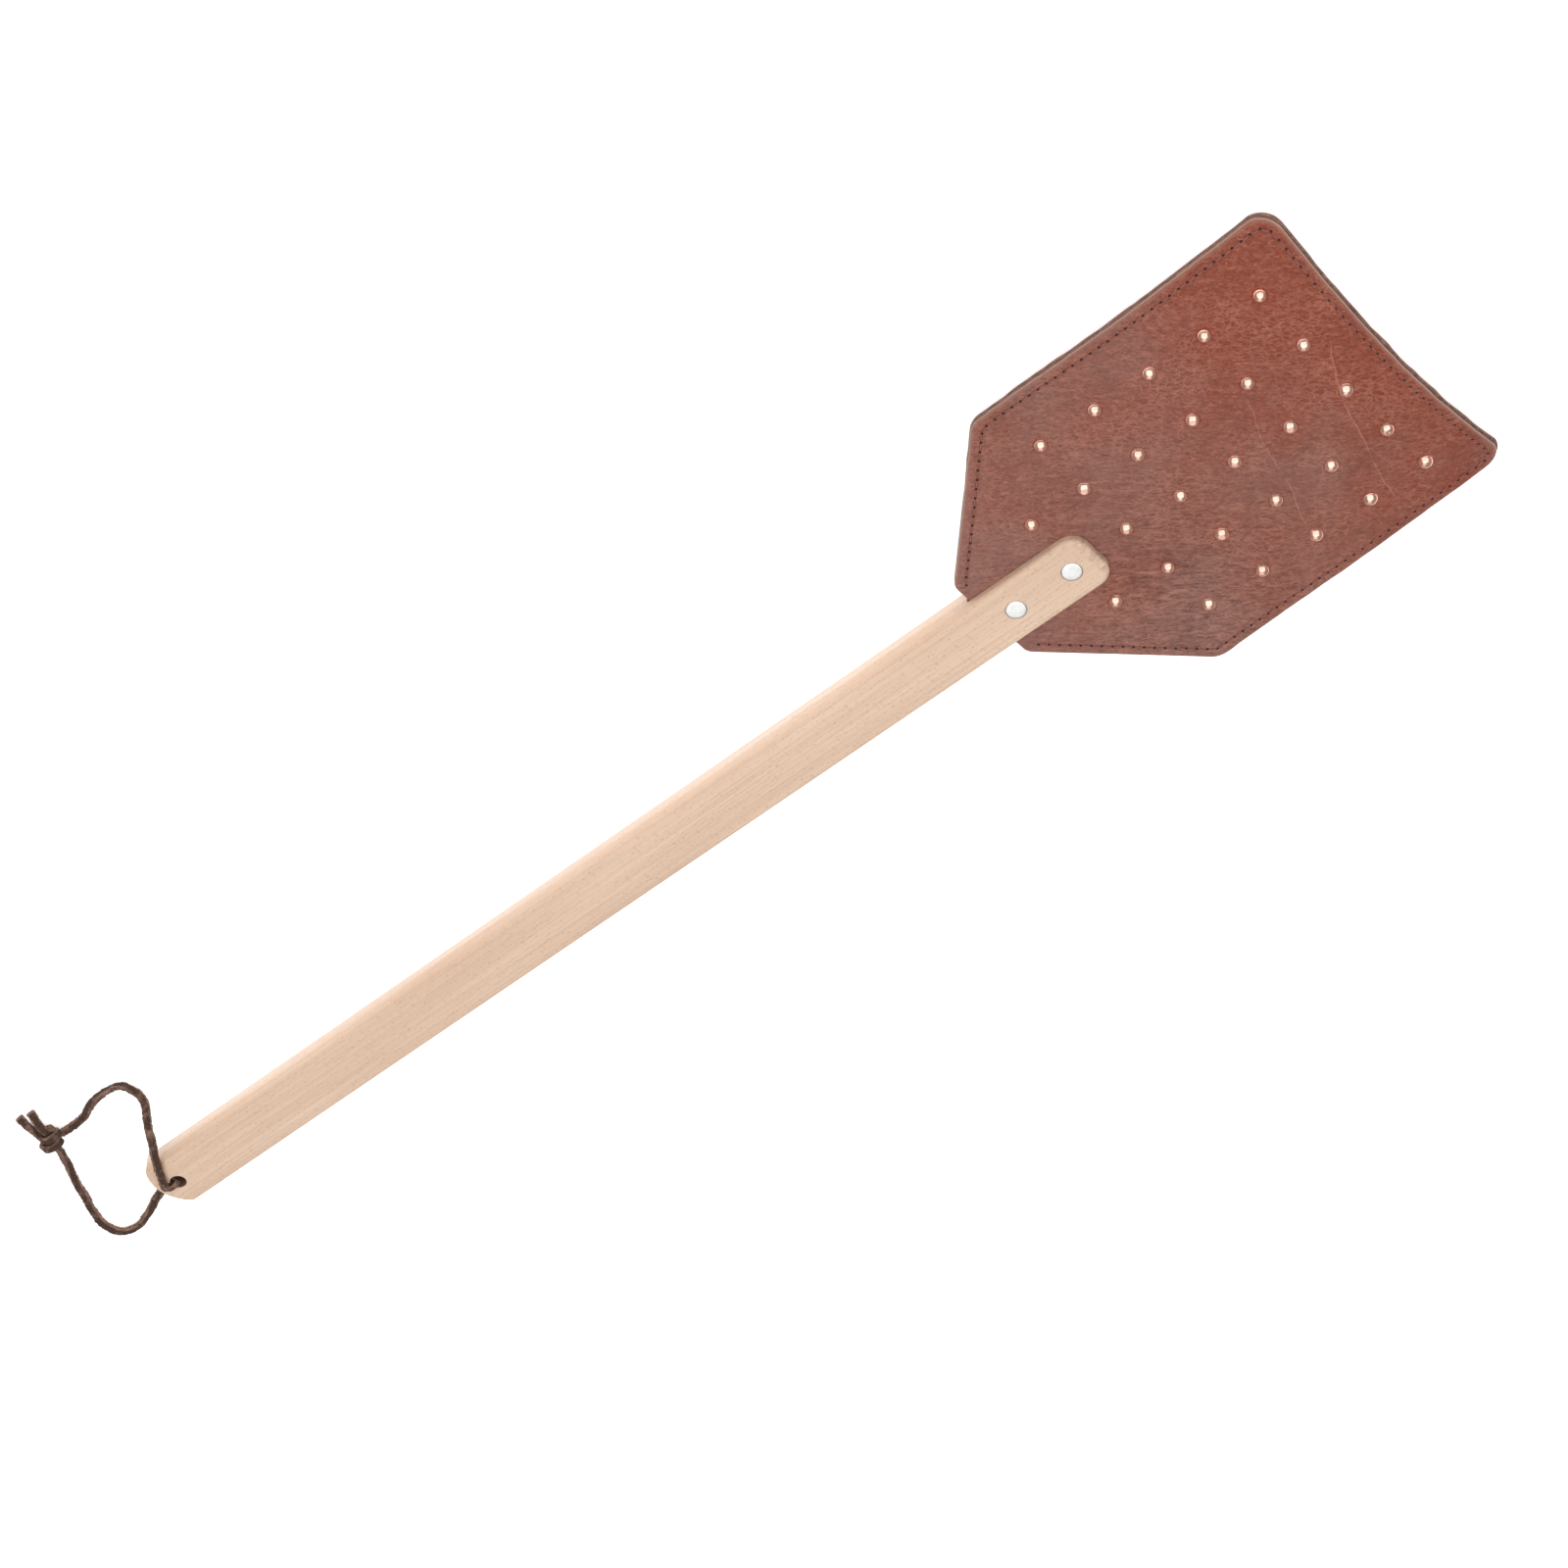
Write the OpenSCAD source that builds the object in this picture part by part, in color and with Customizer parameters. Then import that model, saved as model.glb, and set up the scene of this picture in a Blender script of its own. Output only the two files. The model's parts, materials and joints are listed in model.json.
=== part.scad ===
// Leather fly swatter: a beech stick with a sewn two-layer leather flap riveted into a slot
// in its end, copper studs through the leather, and a leather lace looped through the butt.
// X runs from the butt to the far edge of the flap, Y across the flap, Z up out of the front.
// The origin is on the table, under the middle of the stick and the flap together.

/* [Handle] */
// Length of the stick
handle_len = 362.5; // [340:0.5:385]
// Width of the stick
handle_w = 18.5; // [16:0.5:20]
// Thickness of the stick
handle_t = 8; // [7.5:0.1:9]
// Rounding of the stick's long edges
handle_round = 1.2; // [0.8:0.1:1.5]
// Corner radius at the stick's slotted end
tip_corner_r = 5.5; // [4:0.5:7]
// Radius of the stick's curved butt end
butt_r = 13.5; // [13:0.5:20]
// How far that curve is centred off the stick's middle, to +Y
butt_lean = 1; // [0:0.5:2]
// Corner radius where the butt end meets the sides
butt_corner_r = 1.6; // [1.6:0.1:3]
// Diameter of the hole for the lace
lace_hole_d = 4.8; // [4.5:0.1:5.2]
// Distance of that hole from the butt end
lace_hole_in = 7.5; // [7:0.1:9]

/* [Flap] */
// Length of the leather
head_len = 135; // [130:1:140]
// Width of the leather
head_w = 106; // [104:1:112]
// Width of the leather's short edge inside the slot
neck_w = 31; // [28:1:34]
// How far the leather reaches into the stick
tuck = 36.5; // [35:0.5:40]
// Thickness of one leather layer
layer_t = 1.3; // [1.1:0.05:1.3]
// Corner radius at the far edge
far_corner_r = 7; // [5:0.5:9]
// Height that the middle of the far edge arches up
arch_rise = 4.9; // [3:0.1:6]
// Depth that the far corners curl down below the middle
arch_drop = 10.9; // [8:0.1:10.9]

/* [Studs, rivets and stitching] */
// Spacing of the copper studs
stud_pitch = 18; // [17:0.5:18.5]
// Distance of the first row of studs from the far edge
stud_margin = 16; // [14:0.5:18]
// Diameter of a stud's head
stud_d = 4; // [3:0.1:4.4]
// Diameter of the handle rivets
rivet_d = 6; // [5:0.1:6.5]
// Distance of the two handle rivets from the slotted end
rivet_in = [8.5, 27.8];
// Distance of the stitching from the leather's edge
seam_in = 3; // [2.6:0.1:4]
// Length of one stitch and its gap
stitch_pitch = 2.9; // [2.8:0.1:4]

/* [Lace] */
// Thickness of the leather lace
lace_d = 2.6; // [2.2:0.1:2.6]

/* [Hidden] */
stud_columns = 5;
stud_rows = 5;
stud_names = [for (c = [1:stud_columns], r = [1:stud_rows]) str("stud_", c, "_", r)];
neck_stud_names = ["stud_neck_left", "stud_neck_right"];

// The lace under the butt and the curled far corners hold the stick this far off the table.
lift = lace_d + 0.1;
mid_z = lift + handle_t / 2;
total_len = handle_len + head_len - tuck;
butt_x = -total_len / 2;
tip_x = butt_x + handle_len;
head_x0 = tip_x - tuck;
head_x1 = total_len / 2;
half_w = head_w / 2;
leather_t = 2 * layer_t;
slot_gap = 0.05;
slot_in = 0.6;

// The flap bends about a line just beyond the stick, and the split there leaves room for it.
bend_x = tip_x + 5;
root_end = bend_x - 0.5;
flap_start = bend_x + 1;

neck_corner_r = 4;
shoulder_r = 6;
shoulder_x = head_x0 + (head_w - neck_w) / 2;
corner_steps = 6;
flap_steps = 19;
flap_columns = 20;
rise_span = 86;
drop_power = 0.85;

rivet_proud = 0.15;
stud_shank_d = 1.8;
stud_dome_h = 1.3;
stud_tail_d = 2.8;
stud_tail_h = 0.5;
stitch_d = 0.7;
stitch_gap = 0.8;

beech = "#e0c2a8";
leather = "#9d5c4c";
copper = "#c77f5a";
thread = "#4a2418";
lace_brown = "#5b3a2e";

// Height of the leather's middle surface: flat in the stick, arched more and more beyond it.
function flap_share(x) = max(0, (x - bend_x) / (head_x1 - bend_x));
function rise(x) = arch_rise * sin(90 * min(1, max(0, x - bend_x) / rise_span));
function drop(x, y) = arch_drop * pow(flap_share(x), drop_power) * pow(y / half_w, 2);
function leather_z(x, y) = mid_z + rise(x) - drop(x, y);
function slope_x(x, y) = leather_z(x + 0.5, y) - leather_z(x - 0.5, y);
function slope_y(x, y) = leather_z(x, y + 0.5) - leather_z(x, y - 0.5);

function arc(cx, cy, r, a0, a1, steps) =
    [for (i = [0:steps]) let (a = a0 + (a1 - a0) * i / steps) [cx + r * cos(a), cy + r * sin(a)]];
function mirrored_y(points) = [for (i = [len(points) - 1:-1:0]) [points[i].x, -points[i].y]];

// Half the width of the flap at x, which rounds off the far corners.
function flap_half_w(x) =
    let (over = max(0, x - (head_x1 - far_corner_r)))
    half_w - far_corner_r + sqrt(max(0, pow(far_corner_r, 2) - pow(over, 2)));
function flap_stations() = concat(
    [for (i = [0:flap_steps - 1])
        flap_start + (head_x1 - far_corner_r - flap_start) * i / flap_steps],
    [for (i = [0:corner_steps]) head_x1 - far_corner_r * (1 - sin(90 * i / corner_steps))]);

// Stud places: column 1 is nearest the far edge, row 1 is on the +Y side.
function stud_x(c) = head_x1 - stud_margin - (c - 1) * stud_pitch;
function stud_y(r) = ((stud_rows + 1) / 2 - r) * stud_pitch;

// The seam runs parallel to the leather's edge, down both slanted sides and round the far edge.
seam_y = half_w - seam_in;
seam_far_x = head_x1 - seam_in;
seam_turn_r = far_corner_r - seam_in;
seam_shoulder_x = shoulder_x + seam_in * (sqrt(2) - 1);
seam_neck_x = head_x0 + seam_in;
seam_neck_y = seam_y - (seam_shoulder_x - seam_neck_x);
function seam_leg(a, b) =
    let (n = floor(norm(b - a) / stitch_pitch), s = stitch_gap / (2 * norm(b - a)))
    [for (i = [0:n - 1]) [a + (b - a) * (i / n + s), a + (b - a) * ((i + 1) / n - s)]];
function seam_side() = concat(
    seam_leg([seam_neck_x, seam_neck_y], [seam_shoulder_x, seam_y]),
    seam_leg([seam_shoulder_x, seam_y], [seam_far_x - seam_turn_r, seam_y]));
function seam_far() = concat(
    seam_leg([seam_far_x - seam_turn_r, seam_y], [seam_far_x, seam_y - seam_turn_r]),
    seam_leg([seam_far_x, seam_y - seam_turn_r], [seam_far_x, 0]));

// Route of the lace's centre line, in two strands that meet the piece in the hole.
hole_x = butt_x + lace_hole_in;
floor_z = lace_d / 2;
top_z = lift + handle_t + lace_d / 2;
front_route = [
    [-226.3, 2.1, top_z], [-223.9, 6, top_z + 0.1], [-221.4, 9.7, top_z + 0.1],
    [-219.3, 13.4, 10.4], [-217.2, 17.2, 7.2], [-215.2, 20.6, 4.1],
    [-213, 23.7, 2.1], [-211.8, 27, floor_z], [-211.5, 30, floor_z],
    [-212, 32.8, floor_z], [-214, 34.7, floor_z], [-217.8, 35.5, floor_z],
    [-222.3, 35.2, floor_z], [-226.4, 34, floor_z], [-231.2, 32.4, floor_z],
    [-236, 32.1, 1.6], [-240.5, 33.6, 2.2], [-242.6, 37, 2.4],
    [-241.8, 41, 1.9], [-240.9, 44.8, 1.4]];
back_route = [
    [-226.4, -1.2, floor_z], [-231, -3, floor_z], [-235.6, -4.8, floor_z],
    [-239.8, -6.4, floor_z], [-244, -8.1, floor_z], [-248.2, -9.9, floor_z],
    [-252.6, -11.3, floor_z], [-256.6, -11.3, floor_z], [-259.7, -9.3, floor_z],
    [-261.1, -6, floor_z], [-260.9, -2.2, floor_z], [-259, 2.6, floor_z],
    [-256.3, 8.3, floor_z], [-253.4, 14.3, floor_z], [-250.3, 20, floor_z],
    [-247.4, 25, 1.5], [-245.4, 30, 2], [-245.3, 35, 2.3],
    [-245.3, 40.2, 1.9], [-244.9, 45.4, 1.4]];

// A tube of eight flat sides along a route of ring centres.
function tube_ring(route, i, r) =
    let (before = route[max(0, i - 1)], after = route[min(len(route) - 1, i + 1)],
         along = (after - before) / norm(after - before),
         side = cross([0, 0, 1], along) / norm(cross([0, 0, 1], along)),
         up = cross(along, side))
    [for (k = [0:7]) route[i] + r * (side * cos(k * 45) + up * sin(k * 45))];
function flat(lists) = [for (a = lists) for (b = a) b];

module swept_tube(route, r) {
    rings = len(route);
    polyhedron(
        points = flat([for (i = [0:rings - 1]) tube_ring(route, i, r)]),
        faces = concat(
            [[for (k = [0:7]) k]],
            [[for (k = [7:-1:0]) (rings - 1) * 8 + k]],
            [for (i = [0:rings - 2], k = [0:7])
                [i * 8 + k, (i + 1) * 8 + k, (i + 1) * 8 + (k + 1) % 8, i * 8 + (k + 1) % 8]]));
}

// A straight six-sided rod from point a to point b.
module rod(a, b, d) {
    v = b - a;
    translate(a)
        rotate([0, acos(v.z / norm(v)), atan2(v.y, v.x)])
            cylinder(d = d, h = norm(v), $fn = 6);
}

// Plan of the stick, with a curved butt that leans to +Y and a square end with round corners.
module stick_plan(inset) {
    half = handle_w / 2;
    corner_y = half - butt_corner_r;
    reach = butt_r - butt_corner_r;
    left = asin((corner_y - butt_lean) / reach);
    right = asin((corner_y + butt_lean) / reach);
    left_x = butt_x + butt_r - reach * cos(left);
    right_x = butt_x + butt_r - reach * cos(right);
    tip_in = tip_x - tip_corner_r;
    corner_in = butt_corner_r - inset;
    polygon(concat(
        arc(tip_in, half - tip_corner_r, tip_corner_r - inset, 0, 90, 8),
        arc(left_x, corner_y, corner_in, 90, 180 - left, 5),
        arc(butt_x + butt_r, butt_lean, butt_r - inset, 180 - left, 180 + right, 16),
        arc(right_x, -corner_y, corner_in, 180 + right, 270, 5),
        arc(tip_in, tip_corner_r - half, tip_corner_r - inset, 270, 360, 8)));
}

// One hull of stacked outlines rounds every edge of the stick.
module rounded_stick() {
    hull()
        for (a = [0:30:90])
            translate([0, 0, lift + handle_round * (1 - sin(a))])
                linear_extrude(handle_t - 2 * handle_round * (1 - sin(a)))
                    stick_plan(handle_round * (1 - cos(a)));
}

module handle() {
    color(beech)
        difference() {
            rounded_stick();
            translate([head_x0 - slot_in, -handle_w, mid_z - layer_t - slot_gap])
                cube([tuck + handle_w, 2 * handle_w, leather_t + 2 * slot_gap]);
            for (d = rivet_in)
                translate([tip_x - d, 0, 0])
                    cylinder(d = rivet_d, h = lift + handle_t + 1, $fn = 64);
            translate([hole_x, 0, 0])
                cylinder(d = lace_hole_d, h = lift + handle_t + 1, $fn = 64);
        }
}

// A solid aluminium pin whose two ends stand just proud of the wood.
module handle_rivet(from_tip) {
    rim = rivet_d / 2 - 0.3;
    z0 = lift - rivet_proud;
    z1 = lift + handle_t + rivet_proud;
    color("#e6e6e4")
        translate([tip_x - from_tip, 0, 0])
            rotate_extrude($fn = 64)
                polygon([[0, z0], [rim, z0], [rivet_d / 2, lift], [rivet_d / 2, lift + handle_t],
                    [rim, z1], [0, z1]]);
}
module rivet_tip() { handle_rivet(rivet_in[0]); }
module rivet_inner() { handle_rivet(rivet_in[1]); }

// The part of a layer inside and beside the stick, up to the bend.
module root_plan() {
    tangent = tan(22.5);
    side = concat(
        arc(head_x0 + neck_corner_r, neck_w / 2 - neck_corner_r * tangent, neck_corner_r, 180, 135, 4),
        arc(shoulder_x + shoulder_r * tangent, half_w - shoulder_r, shoulder_r, 135, 90, 4),
        [[root_end, half_w]]);
    polygon(concat(side, mirrored_y(side)));
}
module root_layer(z0) {
    color(leather)
        difference() {
            translate([0, 0, z0])
                linear_extrude(layer_t)
                    root_plan();
            for (d = rivet_in)
                translate([tip_x - d, 0, 0])
                    cylinder(d = rivet_d, h = 2 * mid_z, $fn = 64);
            for (s = [1, -1])
                translate([stud_x(stud_columns + 1), s * stud_pitch, 0])
                    cylinder(d = stud_shank_d, h = 2 * mid_z, $fn = 32);
        }
}
module leather_front_root() { root_layer(mid_z); }
module leather_back_root() { root_layer(mid_z - layer_t); }

// The arched part of a layer, from z offset low to z offset high off the middle surface.
module flap_layer(low, high) {
    xs = flap_stations();
    n = len(xs);
    m = flap_columns + 1;
    function at(i, j, off) =
        let (y = flap_half_w(xs[i]) * (2 * j / flap_columns - 1))
        [xs[i], y, leather_z(xs[i], y) + off];
    low_id = n * m;
    color(leather)
        polyhedron(
            points = concat(
                [for (i = [0:n - 1], j = [0:m - 1]) at(i, j, high)],
                [for (i = [0:n - 1], j = [0:m - 1]) at(i, j, low)]),
            faces = concat(
                flat([for (i = [0:n - 2], j = [0:m - 2]) let (a = i * m + j)
                    [[a, a + 1, a + m + 1], [a, a + m + 1, a + m],
                     [low_id + a, low_id + a + m + 1, low_id + a + 1],
                     [low_id + a, low_id + a + m, low_id + a + m + 1]]]),
                [for (i = [0:n - 2]) let (a = i * m)
                    [a, a + m, low_id + a + m, low_id + a]],
                [for (i = [0:n - 2]) let (a = i * m + m - 1)
                    [a + m, a, low_id + a, low_id + a + m]],
                [[for (j = [m - 1:-1:0]) j, for (j = [0:m - 1]) low_id + j]],
                [[for (j = [0:m - 1]) (n - 1) * m + j,
                  for (j = [m - 1:-1:0]) low_id + (n - 1) * m + j]]));
}
module leather_front_flap() { flap_layer(0, layer_t); }
module leather_back_flap() { flap_layer(-layer_t, 0); }

// One stitch on each face of the leather, lying half sunk between two points of the plan.
module stitch(ends) {
    for (off = [layer_t, -layer_t], s = [1, -1])
        rod([ends[0].x, s * ends[0].y, leather_z(ends[0].x, ends[0].y) + off],
            [ends[1].x, s * ends[1].y, leather_z(ends[1].x, ends[1].y) + off], stitch_d);
}
module seam_root() {
    color(thread)
        for (e = seam_side())
            if (max(e[0].x, e[1].x) < root_end)
                stitch(e);
}
module seam_flap() {
    color(thread)
        for (e = concat(seam_side(), seam_far()))
            if (min(e[0].x, e[1].x) > flap_start)
                stitch(e);
}

// A one-piece copper rivet with a domed head in front and a rolled tail behind.
module copper_stud(x, y) {
    dome_r = (pow(stud_d / 2, 2) + pow(stud_dome_h, 2)) / (2 * stud_dome_h);
    color(copper)
        translate([x, y, leather_z(x, y)])
            rotate([atan(slope_y(x, y)), -atan(slope_x(x, y)), 0]) {
                intersection() {
                    translate([0, 0, layer_t + stud_dome_h - dome_r])
                        sphere(dome_r, $fn = 48);
                    translate([0, 0, layer_t])
                        cylinder(d = stud_d, h = stud_dome_h, $fn = 48);
                }
                translate([0, 0, -layer_t])
                    cylinder(d = stud_shank_d, h = leather_t, $fn = 32);
                translate([0, 0, -layer_t - stud_tail_h])
                    difference() {
                        cylinder(d = stud_tail_d, h = stud_tail_h, $fn = 32);
                        translate([0, 0, -0.1])
                            cylinder(d = stud_shank_d - 0.6, h = stud_tail_h - 0.1, $fn = 32);
                    }
            }
}
module stud(c, r) { copper_stud(stud_x(c), stud_y(r)); }
module stud_neck_left() { copper_stud(stud_x(stud_columns + 1), stud_pitch); }
module stud_neck_right() { copper_stud(stud_x(stud_columns + 1), -stud_pitch); }

// The lace inside the hole, with the folds at its two mouths.
module lace_in_hole() {
    shift = lace_hole_d / 2 - lace_d / 2 - 0.1;
    color(lace_brown) {
        translate([hole_x - shift, 0, floor_z])
            cylinder(d = lace_d, h = top_z - floor_z, $fn = 24);
        rod([hole_x - shift, 0, top_z], front_route[0], lace_d);
        rod([hole_x - shift, 0, floor_z], back_route[0], lace_d);
    }
}
module lace_front() { color(lace_brown) swept_tube(front_route, lace_d / 2); }
module lace_back() { color(lace_brown) swept_tube(back_route, lace_d / 2); }

// The overhand knot: a flattened lump round both strands.
module lace_knot() {
    color(lace_brown)
        hull() {
            translate([-245.5, 31.5, 2.6])
                sphere(2.6, $fn = 24);
            translate([-240.3, 34, 2.6])
                sphere(2.6, $fn = 24);
            translate([-243.6, 37.6, 2.8])
                sphere(2.8, $fn = 24);
        }
}

handle();
rivet_tip();
rivet_inner();
leather_front_root();
leather_back_root();
leather_front_flap();
leather_back_flap();
seam_root();
seam_flap();
lace_in_hole();
lace_front();
lace_back();
lace_knot();
stud_neck_left();
stud_neck_right();
for (c = [1:stud_columns], r = [1:stud_rows])
    stud(c, r);
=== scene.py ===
import json
import math
import random

import bmesh
import bpy
import numpy as np
from mathutils import Matrix, Vector, noise


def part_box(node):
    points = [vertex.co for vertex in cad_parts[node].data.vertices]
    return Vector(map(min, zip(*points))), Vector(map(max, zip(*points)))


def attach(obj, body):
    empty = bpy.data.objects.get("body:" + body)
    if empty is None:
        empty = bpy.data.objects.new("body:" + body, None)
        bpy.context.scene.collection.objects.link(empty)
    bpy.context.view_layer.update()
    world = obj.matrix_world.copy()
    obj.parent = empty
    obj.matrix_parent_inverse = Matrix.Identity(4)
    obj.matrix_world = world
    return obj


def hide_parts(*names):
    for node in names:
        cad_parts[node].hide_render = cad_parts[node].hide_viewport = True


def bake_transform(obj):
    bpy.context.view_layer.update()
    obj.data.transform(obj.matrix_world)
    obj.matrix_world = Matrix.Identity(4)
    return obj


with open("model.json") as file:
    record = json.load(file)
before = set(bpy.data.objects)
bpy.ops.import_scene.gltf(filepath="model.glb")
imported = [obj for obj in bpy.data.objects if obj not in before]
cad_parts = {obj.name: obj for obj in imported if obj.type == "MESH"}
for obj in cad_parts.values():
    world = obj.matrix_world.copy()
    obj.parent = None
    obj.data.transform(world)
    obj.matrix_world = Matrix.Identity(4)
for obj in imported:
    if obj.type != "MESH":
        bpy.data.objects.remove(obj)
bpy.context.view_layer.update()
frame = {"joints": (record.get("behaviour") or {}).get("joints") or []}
MM = 0.001

# ---------------------------------------------------------------- sizes, read from the frame
stick_lo, stick_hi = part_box("handle")
root_lo, root_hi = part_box("leather_front_root")
_, flap_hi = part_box("leather_front_flap")
pin_lo, pin_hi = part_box("rivet_tip")
inner_lo, inner_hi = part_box("rivet_inner")

BUTT_X, TIP_X = stick_lo.x, stick_hi.x
STICK_HALF, STICK_LOW, STICK_TOP = stick_hi.y, stick_lo.z, stick_hi.z
HEAD_X0, HEAD_X1, HALF_W = root_lo.x, flap_hi.x, root_hi.y
LAYER_T, MID_Z = root_hi.z - root_lo.z, root_lo.z
BEND_X = frame["joints"][0]["pos_m"][0]
RIVET_R = (pin_hi.x - pin_lo.x) / 2
RIVET_XS = ((pin_lo.x + pin_hi.x) / 2, (inner_lo.x + inner_hi.x) / 2)

# The stick's and the leather's rounding and arch, as the design has them.
TIP_CORNER_R = 5.5 * MM
STICK_ROUND = 1.2 * MM
BUTT_R, BUTT_LEAN, BUTT_CORNER_R = 13.5 * MM, 1 * MM, 1.6 * MM
LACE_HOLE_X, LACE_HOLE_R = BUTT_X + 7.5 * MM, 2.4 * MM
NECK_HALF = 15.5 * MM
NECK_R = 4 * MM
SHOULDER_R = 6 * MM
FAR_R = 7 * MM
ARCH_RISE = 4.9 * MM
ARCH_DROP = 10.9 * MM
RISE_SPAN = 86 * MM
DROP_POWER = 0.85
SEAM_IN, SEAM_SHOULDER_R = 3 * MM, 0.8 * MM
STITCH_PITCH = 2.9 * MM
SHOULDER_X = HEAD_X0 + HALF_W - NECK_HALF
TAN_EIGHTH = math.tan(math.radians(22.5))

# What only the looks have.
FLOOR_GAP = 0.02 * MM
FLOOR_HALF = 6
WRINKLE_TURN = 39
SHOULDER_SAG = 2.4 * MM
FRONT_SHORT = 0.6 * MM
BEND_HALF = 4 * MM

# ---------------------------------------------------------------- camera
VIEW_ACROSS, VIEW_UP, VIEW_ROLL = 50.68, 48.33, -2.775
VIEW_TARGET = Vector((0.0169, -0.0043, 0.0107))
VIEW_DISTANCE = 1.2027
VIEW_LENS = 99.08


def make_camera():
    """The camera looks down over the flap's far corner, with that corner at the top of its view."""
    across, tilt, roll = (math.radians(a) for a in (VIEW_ACROSS, VIEW_UP, VIEW_ROLL))
    flat = Vector((math.cos(across), math.sin(across), 0))
    back = flat * math.cos(tilt) + Vector((0, 0, math.sin(tilt)))
    up = flat * math.sin(tilt) - Vector((0, 0, math.cos(tilt)))
    side = (-back).cross(up)
    axes = (
        side * math.cos(roll) + up * math.sin(roll),
        up * math.cos(roll) - side * math.sin(roll),
        back,
    )
    data = bpy.data.cameras.new("camera")
    data.lens, data.sensor_width, data.clip_start = VIEW_LENS, 36, 0.01
    camera = bpy.data.objects.new("camera", data)
    bpy.context.collection.objects.link(camera)
    place = Matrix(axes).transposed().to_4x4()
    place.translation = VIEW_TARGET + back * VIEW_DISTANCE
    camera.matrix_world = place
    bpy.context.scene.camera = camera


make_camera()


# ---------------------------------------------------------------- material helpers
def node(tree, kind, inputs=None, **settings):
    """Adds a shader node. An input given as a socket is linked, and any other is set."""
    made = tree.nodes.new("ShaderNode" + kind)
    for key, value in settings.items():
        setattr(made, key, value)
    for key, value in (inputs or {}).items():
        if isinstance(value, bpy.types.NodeSocket):
            tree.links.new(value, made.inputs[key])
        else:
            made.inputs[key].default_value = value
    return made


def new_material(name):
    made = bpy.data.materials.new(name)
    made.use_nodes = True
    return made, made.node_tree, made.node_tree.nodes["Principled BSDF"]


def place_of(tree, attribute=None):
    """Object coordinates, or the place at rest that a piece keeps in an attribute."""
    if attribute:
        return node(tree, "Attribute", attribute_name=attribute).outputs["Vector"]
    return node(tree, "TexCoord").outputs["Object"]


def mapped(tree, place, scale, turn=0.0):
    """The place turned in plan by so many degrees, then scaled, in cycles per metre."""
    rotation = (0, 0, math.radians(turn))
    turned = node(tree, "Mapping", {"Vector": place, "Rotation": rotation}).outputs["Vector"]
    return node(tree, "Mapping", {"Vector": turned, "Scale": scale}).outputs["Vector"]


def noise_fac(tree, vector, scale=1.0, detail=4.0, roughness=0.55, distortion=0.0):
    inputs = {
        "Vector": vector,
        "Scale": scale,
        "Detail": detail,
        "Roughness": roughness,
        "Distortion": distortion,
    }
    return node(tree, "TexNoise", inputs).outputs["Fac"]


def ramp(tree, fac, *stops):
    """A colour ramp. A stop is (place, colour) or (place, grey level)."""
    made = node(tree, "ValToRGB", {"Fac": fac})
    band = made.color_ramp
    while len(band.elements) < len(stops):
        band.elements.new(0.5)
    for element, (place, colour) in zip(band.elements, stops):
        element.position = place
        element.color = (*colour, 1) if isinstance(colour, tuple) else (colour,) * 3 + (1,)
    return made.outputs["Color"]


def maths(tree, operation, a, b=0.0, clamp=False):
    return node(tree, "Math", {0: a, 1: b}, operation=operation, use_clamp=clamp).outputs[0]


def times(tree, a, b, clamp=False):
    return maths(tree, "MULTIPLY", a, b, clamp)


def minus(tree, a, b, clamp=False):
    return maths(tree, "SUBTRACT", a, b, clamp)


def mix(tree, fac, a, b):
    a, b = ((*c, 1) if isinstance(c, tuple) else c for c in (a, b))
    return node(tree, "MixRGB", {"Fac": fac, "Color1": a, "Color2": b}).outputs["Color"]


def bump(tree, height, strength, distance, below=None):
    inputs = {"Height": height, "Strength": strength, "Distance": distance}
    if below is not None:
        inputs["Normal"] = below
    return node(tree, "Bump", inputs).outputs["Normal"]


def axis_value(tree, place, axis):
    return node(tree, "SeparateXYZ", {"Vector": place}).outputs[axis]


# ---------------------------------------------------------------- materials
def ring_mask(tree, place, x, radius, width):
    """1 on the stick's face round a rivet, fading out over the width beyond its radius."""
    centred = node(
        tree, "VectorMath", {0: place, 1: (x, 0, 0)}, operation="SUBTRACT"
    ).outputs["Vector"]
    plan = node(
        tree, "VectorMath", {0: centred, 1: (1, 1, 0)}, operation="MULTIPLY"
    ).outputs["Vector"]
    away = node(tree, "VectorMath", {0: plan}, operation="LENGTH").outputs["Value"]
    share = maths(tree, "DIVIDE", minus(tree, away, radius), width)
    return minus(tree, 1.0, share, clamp=True)


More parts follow.
